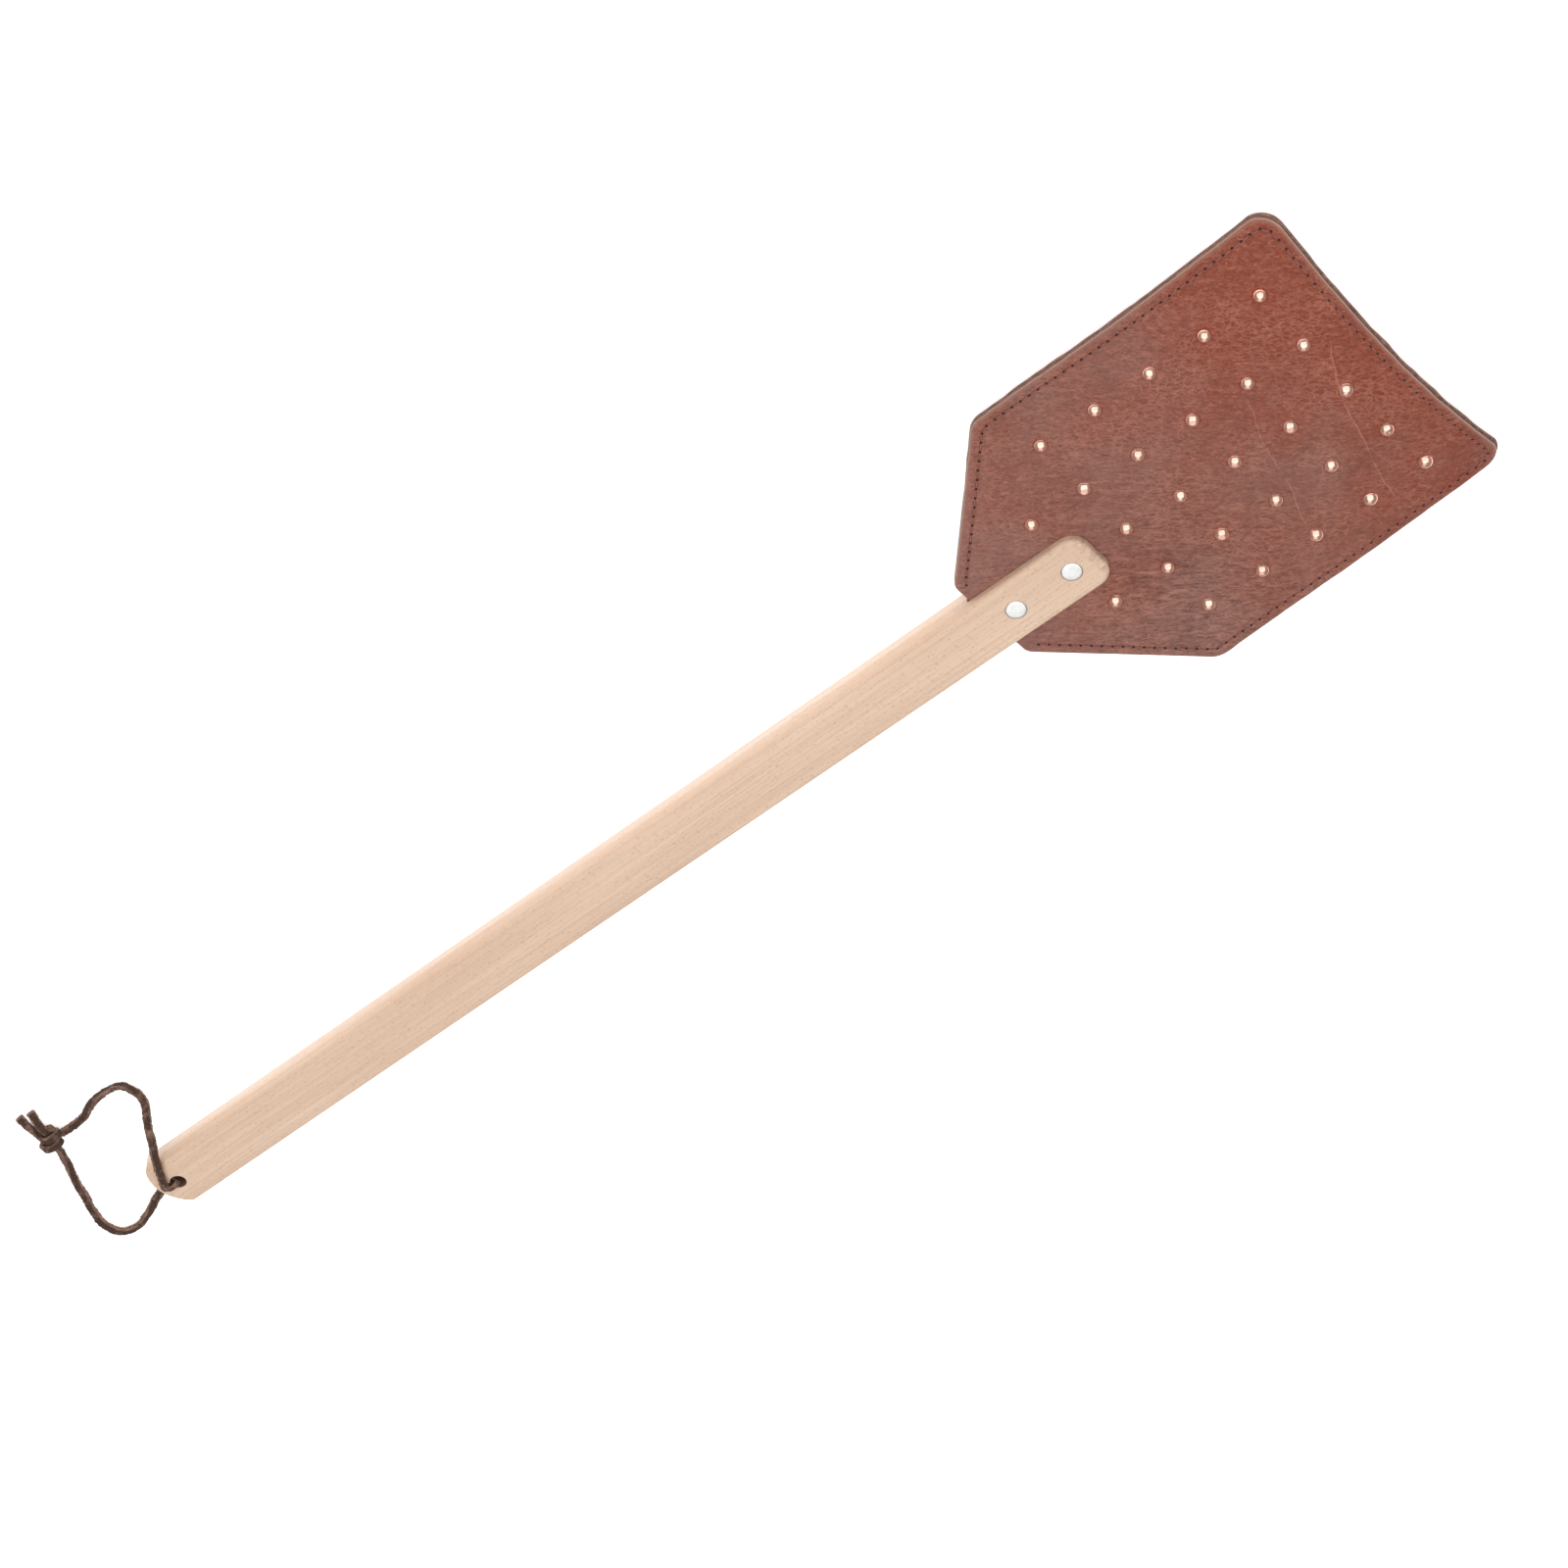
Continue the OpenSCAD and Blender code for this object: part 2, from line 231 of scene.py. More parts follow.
def beech_material():
    """Pale beech: streaks and short dark flecks along the stick, smudged round the slotted end."""
    made, tree, bsdf = new_material("beech")
    place = place_of(tree)
    tone = noise_fac(tree, mapped(tree, place, (9, 70, 70)), detail=3)
    streaks = noise_fac(tree, mapped(tree, place, (16, 1100, 1100)), detail=5, roughness=0.6)
    rays = node(tree, "TexVoronoi", {"Vector": mapped(tree, place, (640, 2900, 2900)), "Scale": 1})
    picked = node(tree, "SeparateColor", {"Color": rays.outputs["Color"]}).outputs[0]
    core = maths(tree, "LESS_THAN", rays.outputs["Distance"], 0.36)
    fleck = times(tree, maths(tree, "GREATER_THAN", picked, 0.7), core)
    base = ramp(tree, tone, (0.3, (0.675, 0.48, 0.352)), (0.7, (0.76, 0.565, 0.43)))
    base = mix(tree, ramp(tree, streaks, (0.36, 0.4), (0.62, 0.0)), base, (0.54, 0.34, 0.225))
    base = mix(tree, times(tree, fleck, 0.45), base, (0.42, 0.25, 0.16))
    # Handling has left grey-brown smudges on the rounded edges, most of all at the slotted end.
    along = axis_value(tree, place, 0)
    across = maths(tree, "ABSOLUTE", axis_value(tree, place, 1))
    near_end = times(tree, minus(tree, TIP_X, along), 30)
    near_end = ramp(tree, near_end, (0.0, 1.0), (0.1, 0.75), (0.5, 0.3), (1.0, 0.12))
    rim = minus(tree, across, STICK_HALF - 2.2 * MM)
    rim = maths(tree, "MAXIMUM", rim, minus(tree, along, TIP_X - 3.0 * MM))
    rim = times(tree, rim, 900, clamp=True)
    dirt = noise_fac(tree, mapped(tree, place, (300, 420, 420)), detail=5, roughness=0.7)
    dirt = ramp(tree, dirt, (0.45, 0.0), (0.62, 1.0))
    smudge = times(tree, times(tree, dirt, rim), near_end)
    base = mix(tree, times(tree, smudge, 0.75), base, (0.36, 0.235, 0.17))
    # Painted light on the sawn sides: painted shade makes them a shade darker towards the front
    # face's arris, and painted bounce light from the floor makes them paler towards the back.
    height = minus(tree, axis_value(tree, place, 2), STICK_LOW)
    height = maths(tree, "DIVIDE", height, STICK_TOP - STICK_LOW)
    sides = times(tree, minus(tree, across, STICK_HALF - 0.9 * MM), 1500, clamp=True)
    tan = times(tree, sides, ramp(tree, height, (0.42, 0.0), (0.75, 0.35), (1.0, 0.35)))
    base = mix(tree, tan, base, (0.60, 0.40, 0.27))
    painted_bounce_light = times(tree, sides, ramp(tree, height, (0.3, 0.25), (0.6, 0.0)))
    base = mix(tree, painted_bounce_light, base, (0.94, 0.88, 0.82))
    # Painted shade: a thin dark ring on the stick's face round each rivet, where the narrow gap
    # between rivet and bore lies.
    for x in RIVET_XS:
        base = mix(tree, ring_mask(tree, place, x, RIVET_R, 0.1 * MM), base, (0.30, 0.21, 0.16))
    # Painted shade: the lace hole's walls and the inner part of its eased mouth are darkened, as
    # shade inside the hole.
    painted_lace_hole_shade = ring_mask(tree, place, LACE_HOLE_X, LACE_HOLE_R + 0.05 * MM, 0.15 * MM)
    base = mix(tree, painted_lace_hole_shade, base, (0.16, 0.09, 0.06))
    tree.links.new(base, bsdf.inputs["Base Color"])
    tree.links.new(ramp(tree, streaks, (0.3, 0.72), (0.7, 0.55)), bsdf.inputs["Roughness"])
    normal = bump(tree, streaks, 0.25, 0.0002)
    tree.links.new(bump(tree, fleck, -0.25, 0.0001, normal), bsdf.inputs["Normal"])
    return made


def leather_material():
    """Grained cowhide: redder far from the stick, wrinkled beside it, with painted shade and painted
    highlight on the folds, greyish along its rim, and a painted highlight line at its very edge.
    """
    made, tree, bsdf = new_material("leather")
    place = place_of(tree, "rest")
    rim = node(tree, "Attribute", attribute_name="rim").outputs["Fac"]
    fold_strength = node(tree, "Attribute", attribute_name="fold_strength").outputs["Fac"]
    tone = noise_fac(tree, place, 26, 4)
    warp = noise_fac(tree, place, 55, 3)
    mottle = noise_fac(tree, place, 620, 5, 0.7)
    folded = mapped(tree, place, (190, 640, 300), WRINKLE_TURN)
    folds = noise_fac(tree, folded, 1, 5, 0.62, 0.9)
    grain = mapped(tree, place, (520, 1500, 900), WRINKLE_TURN)
    fine = noise_fac(tree, grain, 1, 5, 0.68, 1.2)
    wavy = node(tree, "TexNoise", {"Vector": place, "Scale": 300}).outputs["Color"]
    bent = mapped(tree, mix(tree, 0.0035, place, wavy), (330, 900, 600), WRINKLE_TURN)
    cells = node(
        tree, "TexVoronoi", {"Vector": bent, "Scale": 1}, feature="DISTANCE_TO_EDGE"
    ).outputs["Distance"]
    net = ramp(tree, cells, (0.0, 1.0), (0.15, 0.0))
    # The hue drifts from a greyish brown by the stick to a redder one at the far edge.
    reach = minus(tree, axis_value(tree, place, 0), HEAD_X0)
    reach = maths(tree, "DIVIDE", reach, HEAD_X1 - HEAD_X0)
    hue = maths(tree, "ADD", reach, times(tree, axis_value(tree, place, 1), 2.5))
    hue = maths(tree, "ADD", hue, times(tree, minus(tree, tone, 0.5), 1.6))
    base = ramp(tree, hue, (0.15, (0.224, 0.110, 0.090)), (0.9, (0.215, 0.034, 0.011)))
    base = mix(tree, ramp(tree, tone, (0.35, 0.0), (0.7, 0.25)), base, (0.27, 0.07, 0.042))
    # Painted shade in the hollows of the folds and painted highlight on their ridges, strongest
    # beside the stick's slotted end.
    painted_fold_shade = times(tree, ramp(tree, folds, (0.36, 0.75), (0.5, 0.0)), fold_strength)
    base = mix(tree, painted_fold_shade, base, (0.10, 0.035, 0.026))
    base = mix(tree, ramp(tree, fine, (0.34, 0.65), (0.5, 0.0)), base, (0.12, 0.036, 0.024))
    ridges = times(tree, ramp(tree, folds, (0.53, 0.0), (0.66, 0.6)), fold_strength)
    base = mix(tree, ridges, base, (0.42, 0.2, 0.15))
    base = mix(tree, ramp(tree, fine, (0.54, 0.0), (0.66, 0.6)), base, (0.45, 0.17, 0.11))
    base = mix(tree, ramp(tree, mottle, (0.5, 0.0), (0.7, 0.4)), base, (0.36, 0.15, 0.105))
    net_shown = times(tree, net, ramp(tree, warp, (0.4, 0.08), (0.6, 0.4)))
    base = mix(tree, net_shown, base, (0.48, 0.2, 0.14))
    crease = None
    for start, end, width in CREASES:
        line = crease_mask(tree, place, warp, start, end, width)
        crease = line if crease is None else maths(tree, "MAXIMUM", crease, line)
    base = mix(tree, times(tree, crease, 0.45), base, (0.50, 0.24, 0.18))
    base = mix(tree, ramp(tree, rim, (0.1, 0.0), (0.6, 0.6)), base, (0.27, 0.145, 0.11))
    # Painted highlight: a thin pale line along the very edge of the leather's face, where its
    # rounded edge catches the light.
    base = mix(tree, ramp(tree, rim, (0.84, 0.0), (0.9, 0.65)), base, (0.5, 0.29, 0.23))
    tree.links.new(base, bsdf.inputs["Base Color"])
    tree.links.new(ramp(tree, mottle, (0.3, 0.60), (0.7, 0.46)), bsdf.inputs["Roughness"])
    normal = bump(tree, times(tree, folds, fold_strength), 1.0, 0.0007)
    normal = bump(tree, fine, 0.6, 0.00035, normal)
    normal = bump(tree, net, -0.3, 0.00012, normal)
    normal = bump(tree, mottle, 0.35, 0.0002, normal)
    tree.links.new(bump(tree, crease, -0.4, 0.0002, normal), bsdf.inputs["Normal"])
    bsdf.inputs["Specular IOR Level"].default_value = 0.28
    return made


def crease_mask(tree, place, warp, start, end, width):
    """1 along a thin wavering line from start to end in plan, in millimetres, and 0 beside it."""
    a, b = Vector(start) * MM, Vector(end) * MM
    along = (b - a).normalized()
    off = Vector((-along.y, along.x))
    x, y = axis_value(tree, place, 0), axis_value(tree, place, 1)

    def distance(direction):
        total = maths(tree, "ADD", times(tree, x, direction.x), times(tree, y, direction.y))
        return minus(tree, total, a.dot(direction))

    side = maths(tree, "ADD", distance(off), times(tree, warp, CREASE_WAVE))
    side = maths(tree, "ABSOLUTE", minus(tree, side, CREASE_WAVE / 2))
    thin = minus(tree, 1.0, maths(tree, "DIVIDE", side, width * MM), clamp=True)
    reach = distance(along)
    begun = times(tree, reach, 300, clamp=True)
    ahead = times(tree, minus(tree, (b - a).length, reach), 300, clamp=True)
    return times(tree, thin, times(tree, begun, ahead))


def raw_edge_material(name, low, high, attribute=None):
    """A cut leather edge, with its fibres showing."""
    made, tree, bsdf = new_material(name)
    fibres = noise_fac(tree, mapped(tree, place_of(tree, attribute), (500, 500, 2600)), 1, 5, 0.65)
    tree.links.new(ramp(tree, fibres, (0.35, low), (0.65, high)), bsdf.inputs["Base Color"])
    bsdf.inputs["Roughness"].default_value = 0.85
    tree.links.new(bump(tree, fibres, 0.5, 0.0003), bsdf.inputs["Normal"])
    return made


def suede_material(name, low, high):
    """Dry suede with a ragged nap, blotched where it has been handled."""
    made, tree, bsdf = new_material(name)
    place = place_of(tree)
    nap = noise_fac(tree, place, 1500, 6, 0.75)
    blotch = noise_fac(tree, place, 320, 4, 0.65)
    base = ramp(tree, nap, (0.36, low), (0.66, high))
    base = mix(tree, ramp(tree, blotch, (0.52, 0.0), (0.68, 0.7)), base,
               tuple(2.6 * c + 0.03 for c in high))
    tree.links.new(base, bsdf.inputs["Base Color"])
    bsdf.inputs["Roughness"].default_value = 0.92
    bsdf.inputs["Specular IOR Level"].default_value = 0.2
    tree.links.new(bump(tree, nap, 0.6, 0.0003), bsdf.inputs["Normal"])
    return made


def metal_material(name, low, high, roughness):
    """Bare metal, rubbed duller in patches."""
    made, tree, bsdf = new_material(name)
    rubs = noise_fac(tree, place_of(tree), 900, 4)
    tree.links.new(ramp(tree, rubs, (0.35, low), (0.65, high)), bsdf.inputs["Base Color"])
    dull = ramp(tree, rubs, (0.3, roughness + 0.12), (0.7, roughness))
    tree.links.new(dull, bsdf.inputs["Roughness"])
    bsdf.inputs["Metallic"].default_value = 1.0
    tree.links.new(bump(tree, rubs, 0.12, 0.0001), bsdf.inputs["Normal"])
    return made


def thread_material(name, low, high):
    """Waxed thread, its twist showing as slanted ridges."""
    made, tree, bsdf = new_material(name)
    place = mapped(tree, place_of(tree, "rest"), (1, 1, 1), 45)
    twist = node(tree, "TexWave", {"Vector": place, "Scale": 700, "Distortion": 3}).outputs["Fac"]
    tree.links.new(ramp(tree, twist, (0.2, low), (0.8, high)), bsdf.inputs["Base Color"])
    bsdf.inputs["Roughness"].default_value = 0.8
    tree.links.new(bump(tree, twist, 0.4, 0.0001), bsdf.inputs["Normal"])
    return made


# Where the flap has been folded in use, in millimetres: from one point of its plan to another,
# and how wide. Each fold wavers by up to the wave.
CREASE_WAVE = 5 * MM
CREASES = (
    ((220.5, 16), (212.2, -2.8), 0.26),
    ((212.2, -2.8), (205.4, -23.5), 0.32),
    ((205.4, -23.5), (201, -42), 0.26),
    ((193, 16), (184.4, -12.4), 0.22),
    ((184.4, -12.4), (178.5, -32), 0.26),
    ((183.2, -15.5), (190, -20), 0.2),
    ((180, -1.5), (184.4, -12.4), 0.2),
)

BEECH = beech_material()
LEATHER = leather_material()
LEATHER_EDGE = raw_edge_material(
    "leather_edge", (0.12, 0.06, 0.045), (0.27, 0.15, 0.11), "rest"
)
COPPER = metal_material("copper", (0.82, 0.43, 0.33), (0.93, 0.57, 0.46), 0.13)
ALUMINIUM = metal_material("aluminium", (0.84, 0.84, 0.83), (0.93, 0.93, 0.92), 0.38)
THREAD = thread_material("thread", (0.19, 0.06, 0.042), (0.31, 0.11, 0.08))
# Near-black, for the painted shade at the needle holes.
PAINTED_NEEDLE_HOLE_SHADE = thread_material("painted_needle_hole_shade", (0.012, 0.004, 0.003), (0.03, 0.01, 0.007))
LACE = suede_material("lace_face", (0.034, 0.019, 0.013), (0.09, 0.053, 0.038))
LACE_EDGE = raw_edge_material("lace_edge", (0.03, 0.015, 0.01), (0.30, 0.165, 0.11))


# ---------------------------------------------------------------- mesh helpers
def new_piece(name, vertices, faces, materials, face_material=None, smooth_below=40):
    """A mesh object that shades smooth where its faces meet at less than that many degrees."""
    mesh = bpy.data.meshes.new(name)
    mesh.from_pydata([tuple(v) for v in vertices], [], faces)
    for material in materials:
        mesh.materials.append(material)
    if face_material is not None:
        mesh.polygons.foreach_set("material_index", face_material)
    piece = bpy.data.objects.new(name, mesh)
    bpy.context.collection.objects.link(piece)
    finish_shading(piece, smooth_below)
    return piece


def finish_shading(piece, smooth_below):
    shape = bmesh.new()
    shape.from_mesh(piece.data)
    bmesh.ops.recalc_face_normals(shape, faces=shape.faces)
    limit = math.radians(smooth_below)
    for face in shape.faces:
        face.smooth = True
    for edge in shape.edges:
        edge.smooth = len(edge.link_faces) == 2 and edge.calc_face_angle(0) < limit
    shape.to_mesh(piece.data)
    shape.free()


def keep_rest(piece):
    """Stores every point's place at rest, which the piece's materials read."""
    places = np.array([v.co for v in piece.data.vertices], np.float32)
    piece.data.attributes.new("rest", "FLOAT_VECTOR", "POINT").data.foreach_set(
        "vector", places.ravel()
    )


def tube_faces(rings, sides):
    """The faces of a closed tube: its walls in order, then its two ends."""
    faces = [
        (i * sides + k, i * sides + (k + 1) % sides,
         (i + 1) * sides + (k + 1) % sides, (i + 1) * sides + k)
        for i in range(rings - 1)
        for k in range(sides)
    ]
    faces.append(tuple(range(sides - 1, -1, -1)))
    faces.append(tuple((rings - 1) * sides + k for k in range(sides)))
    return faces


def lathe(profile, steps):
    """The points and faces of a profile of (radius, height) pairs turned about the Z axis."""
    turns = [2 * math.pi * k / steps for k in range(steps)]
    points = [Vector((r * math.cos(a), r * math.sin(a), z)) for r, z in profile for a in turns]
    return points, tube_faces(len(profile), steps)


def spline(points, steps):
    """A smooth curve through the points, with that many steps between two of them."""
    padded = [points[0] * 2 - points[1], *points, points[-1] * 2 - points[-2]]
    curve = []
    for p0, p1, p2, p3 in zip(padded, padded[1:], padded[2:], padded[3:]):
        for k in range(steps):
            u = k / steps
            curve.append(
                (p1 * 2 + (p2 - p0) * u + (p0 * 2 - p1 * 5 + p2 * 4 - p3) * u * u
                 + (p1 * 3 - p0 - p2 * 3 + p3) * u**3) / 2
            )
    curve.append(points[-1].copy())
    return curve


def wobble(place, period, seed):
    """Smooth noise from -1 to 1 at a place, with waves of about that period."""
    return noise.noise(Vector(place) / period + Vector((seed * 7.3, seed * 3.1, seed)))


# ---------------------------------------------------------------- the lace
# The lace's two strands, from the hole's front and back mouths to their cut ends, and the
# stretch through the hole that joins them, all in millimetres.
FRONT_ROUTE = [
    (-226.3, 2.1, 12.0), (-223.9, 6, 12.1), (-221.4, 9.7, 12.1), (-219.3, 13.4, 10.4),
    (-217.2, 17.2, 7.2), (-215.2, 20.6, 4.1), (-213, 23.7, 2.1), (-211.8, 27, 1.3),
    (-211.5, 30, 1.3), (-212, 32.8, 1.3), (-214, 34.7, 1.3), (-217.8, 35.5, 1.3),
    (-222.3, 35.2, 1.3), (-226.4, 34, 1.3), (-231.2, 32.4, 1.3), (-236, 32.1, 1.6),
    (-240.5, 33.6, 2.2), (-242.6, 37, 2.4), (-241.8, 41, 1.9), (-240.9, 44.8, 1.4),
]
BACK_ROUTE = [
    (-226.4, -1.2, 1.3), (-231, -3, 1.3), (-235.6, -4.8, 1.3), (-239.8, -6.4, 1.3),
    (-244, -8.1, 1.3), (-248.2, -9.9, 1.3), (-252.6, -11.3, 1.3), (-256.6, -11.3, 1.3),
    (-259.7, -9.3, 1.3), (-261.1, -6, 1.3), (-260.9, -2.2, 1.3), (-259, 2.6, 1.3),
    (-256.3, 8.3, 1.3), (-253.4, 14.3, 1.3), (-250.3, 20, 1.3), (-247.4, 25, 1.5),
    (-245.4, 30, 2), (-245.3, 35, 2.3), (-245.3, 40.2, 1.9), (-244.9, 45.4, 1.4),
]
HOLE_ROUTE = [
    (-226.7, 2.5, 11.9), (-226.2, 1.3, 11.8), (-225.3, 0.5, 11.5), (-224.4, 0.1, 10.5),
    (-224, 0, 8.4), (-224, 0, 5.6), (-224.1, 0, 3.2), (-224.7, -0.3, 1.8), (-225.8, -0.9, 1.4),
]
LACE_WIDE, LACE_THICK = 2.5 * MM, 1.7 * MM
LACE_THICK_IN_HOLE, LACE_THICK_IN_KNOT = 1.9 * MM, 1.35 * MM
LACE_KINK = 0.45 * MM
KNOT_MIDDLE = Vector((-243.1, 34.4, 2.75)) * MM
KNOT_AXIS = Vector((0.12, 1, 0)).normalized()


def lace_section(thick):
    """The lace's cross-section, its corners cut, and which of its sides are the cut edges."""
    w, t = LACE_WIDE / 2, thick / 2
    cut = 0.22 * thick
    points = [
        (w, -t + cut), (w, 0), (w, t - cut), (w - cut, t), (w / 3, t), (-w / 3, t),
        (-w + cut, t), (-w, t - cut), (-w, 0), (-w, -t + cut), (-w + cut, -t), (-w / 3, -t),
        (w / 3, -t), (w - cut, -t),
    ]
    cut_edge = (1, 1, 1, 0, 0, 0, 1, 1, 1, 1, 0, 0, 0, 1)
    return points, cut_edge


def lace_mesh(name, line, twist, seed, thick=LACE_THICK, floor=0.0):
    """A lace along a line, turned about it by twist(share) radians, and its middle line."""
    section, cut_edge = lace_section(thick)
    points, middle = [], []
    for i, here in enumerate(line):
        along = (line[min(i + 1, len(line) - 1)] - line[max(i - 1, 0)]).normalized()
        side = Vector((0, 0, 1)).cross(along)
        if side.length <= 0.2:
            side = Vector((0, 1, 0)).cross(along)
        side = side.normalized()
        up = along.cross(side)
        turn = twist(i / (len(line) - 1))
        a = side * math.cos(turn) + up * math.sin(turn)
        b = up * math.cos(turn) - side * math.sin(turn)
        ring = []
        for k, (s, t) in enumerate(section):
            rough = 1 + 0.24 * wobble(here, 0.8 * MM, seed + 0.61 * k) * (1 if cut_edge[k] else 0.5)
            swell = 1 + 0.1 * wobble(here, 5 * MM, seed)
            ring.append(here + a * (s * rough * swell) + b * (t * rough))
        lift = Vector((0, 0, max(0.0, floor - min(p.z for p in ring))))
        points += [p + lift for p in ring]
        middle.append(here + lift)
    sides = len(section)
    faces = tube_faces(len(line), sides)
    kinds = [cut_edge[f[0] % sides] for f in faces[:-2]] + [1, 1]
    return new_piece(name, points, faces, [LACE, LACE_EDGE], kinds), middle


def in_metres(route):
    return [Vector(p) * MM for p in route]


def make_strand(name, cad_node, route, twist, seed):
    """One strand of the lace, slightly kinked along its route, from the hole to its cut end."""
    line = spline(in_metres(route), 10)
    kink = [Vector((wobble(p, 5 * MM, seed), wobble(p, 5 * MM, seed + 4), 0)) for p in line]
    line = [p + k * LACE_KINK for p, k in zip(line, kink)]
    strand, middle = lace_mesh(name, line, twist, seed, floor=FLOOR_GAP)
    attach(strand, "stick")
    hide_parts(cad_node)


def knot_band(turns, start, along, slant, aside):
    """One strand's way round the knot: flattened turns about an axis that points to the tails."""
    across = Vector((KNOT_AXIS.y, -KNOT_AXIS.x, 0))
    line = []
    steps = int(26 * turns)
    for k in range(steps + 1):
        share = k / steps
        a = start + 2 * math.pi * turns * share
        squeeze = 1 - 0.25 * (abs(share - 0.5) * 2) ** 3
        line.append(
            KNOT_MIDDLE
            + KNOT_AXIS * ((along + slant * (share - 0.5)) * MM)
            + across * (aside * MM + 3.1 * MM * squeeze * math.cos(a))
            + Vector((0, 0, 1.95 * MM * squeeze * math.sin(a)))
        )
    return line


def make_knot():
    """The overhand knot: both strands go once round themselves, side by side."""
    vertices, faces, kinds = [], [], []
    section, cut_edge = lace_section(LACE_THICK_IN_KNOT)
    sides = len(section)
    for number, (along, slant, aside) in enumerate(((-2.5, 2.2, -1.5), (0.7, 2.4, 0.5))):
        line = knot_band(1.22, -2.1 + 0.2 * number, along, slant, aside)
        first = len(vertices)
        for i, here in enumerate(line):
            before, after = line[max(i - 1, 0)], line[min(i + 1, len(line) - 1)]
            forward = (after - before).normalized()
            flat = (KNOT_AXIS - forward * KNOT_AXIS.dot(forward)).normalized()
            out = flat.cross(forward)
            for k, (s, t) in enumerate(section):
                rough = 1 + 0.08 * wobble(here, 1.6 * MM, 40 + number + 0.6 * k)
                vertices.append(here + flat * (s * rough) + out * (t * rough))
        made = tube_faces(len(line), sides)
        faces += [tuple(first + v for v in f) for f in made]
        kinds += [cut_edge[f[0] % sides] for f in made[:-2]] + [1, 1]
    knot = new_piece("knot", vertices, faces, [LACE, LACE_EDGE], kinds)
    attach(knot, "stick")
    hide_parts("lace_knot")
    return knot


def front_twist(share):
    """How far the front strand is turned at that share of its length, in radians."""
    on_edge = math.exp(-(((share - 0.56) / 0.17) ** 2))
    return 0.25 + 1.3 * on_edge + 0.25 * math.sin(15 * share)


def back_twist(share):
    return 0.4 + 0.6 * math.sin(6 * share + 2.4) + 0.4 * math.sin(17 * share)


def make_lace():
    line = spline(in_metres(HOLE_ROUTE), 6)
    through, _ = lace_mesh(
        "lace_through_hole", line, lambda share: 1.45, 5, thick=LACE_THICK_IN_HOLE
    )
    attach(through, "stick")
    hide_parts("lace_in_hole")
    knot = make_knot()
    make_strand("front_strand", "lace_front", FRONT_ROUTE, front_twist, 1)
    make_strand("back_strand", "lace_back", BACK_ROUTE, back_twist, 2)


make_lace()


# ---------------------------------------------------------------- the leather's shape
def arc(cx, cy, r, start, end, steps):
    turns = [math.radians(start + (end - start) * i / steps) for i in range(steps + 1)]
    return [(cx + r * math.cos(a), cy + r * math.sin(a)) for a in turns]


def mirrored(points):
    return [(x, -y) for x, y in reversed(points)]


def head_outline(inset, shoulder_r, steps=10):
    """The leather's outline in plan, as a closed line set in from its edge."""
    shoulder_x = SHOULDER_X + inset * (math.sqrt(2) - 1) + shoulder_r * TAN_EIGHTH
    side = [
        *arc(HEAD_X0 + NECK_R, NECK_HALF - NECK_R * TAN_EIGHTH, NECK_R - inset, 180, 135, steps),
        *arc(shoulder_x, HALF_W - inset - shoulder_r, shoulder_r, 135, 90, steps),
        *arc(HEAD_X1 - FAR_R, HALF_W - FAR_R, FAR_R - inset, 90, 0, 2 * steps),
    ]
    return np.array(side + mirrored(side))


def distance_to(x, y, line, closed=True):
    """How far each point of the plan is from a line of points."""
    a = line
    b = np.roll(line, -1, 0) if closed else line[1:]
    a = a if closed else line[:-1]
    best = np.full(x.shape, 1e9)
    for (ax, ay), (bx, by) in zip(a, b):
        dx, dy = bx - ax, by - ay
        share = np.clip(((x - ax) * dx + (y - ay) * dy) / max(dx * dx + dy * dy, 1e-18), 0, 1)
        best = np.minimum(best, np.hypot(x - ax - share * dx, y - ay - share * dy))
    return best


def half_width(x):
    """Half the leather's width at x, with every corner of its outline rounded."""
    neck = HEAD_X0 + NECK_R
    if x < neck - NECK_R * math.cos(math.pi / 4):
        return NECK_HALF - NECK_R * TAN_EIGHTH + math.sqrt(max(0.0, NECK_R**2 - (x - neck) ** 2))
    shoulder = SHOULDER_X + SHOULDER_R * TAN_EIGHTH
    if x < shoulder - SHOULDER_R * math.sin(math.pi / 4):
        return NECK_HALF + x - HEAD_X0
    if x < shoulder:
        return HALF_W - SHOULDER_R + math.sqrt(SHOULDER_R**2 - (x - shoulder) ** 2)
    over = max(0.0, x - (HEAD_X1 - FAR_R))
    return HALF_W - FAR_R + math.sqrt(max(0.0, FAR_R**2 - over**2))


def smooth_step(value, low, high):
    share = np.clip((value - low) / (high - low), 0, 1)
    return share * share * (3 - 2 * share)


def noise_field(x, y, scale_x, scale_y, seed, octaves=1):
    """Noise over the plan, with waves of those two lengths in metres."""
    flat = zip((x / scale_x).ravel(), (y / scale_y).ravel())
    if octaves == 1:
        values = [noise.noise((u, v, seed)) for u, v in flat]
    else:
        values = [noise.fractal((u, v, seed), 1.0, 2.0, octaves) for u, v in flat]
    return np.array(values).reshape(x.shape)


def middle_z(x, y):
    """Height of the leather's middle: flat in the stick, arched and gently waved beyond it."""
    reach = np.maximum(0.0, x - BEND_X)
    share = reach / (HEAD_X1 - BEND_X)
    rise = ARCH_RISE * np.sin(math.pi / 2 * np.minimum(1.0, reach / RISE_SPAN))
    drop = ARCH_DROP * share**DROP_POWER * (y / HALF_W) ** 2
    waves = 0.3 * MM * noise_field(x, y, 34 * MM, 27 * MM, 3.7)
    # The shoulder on the +Y side hangs a little lower than the other.
    sag = SHOULDER_SAG * smooth_step(y, 20 * MM, HALF_W)
    sag = sag * np.exp(-(((x - SHOULDER_X) / (32 * MM)) ** 2))
    return MID_Z + rise - drop - sag + waves * smooth_step(reach, 0.0, 30 * MM)


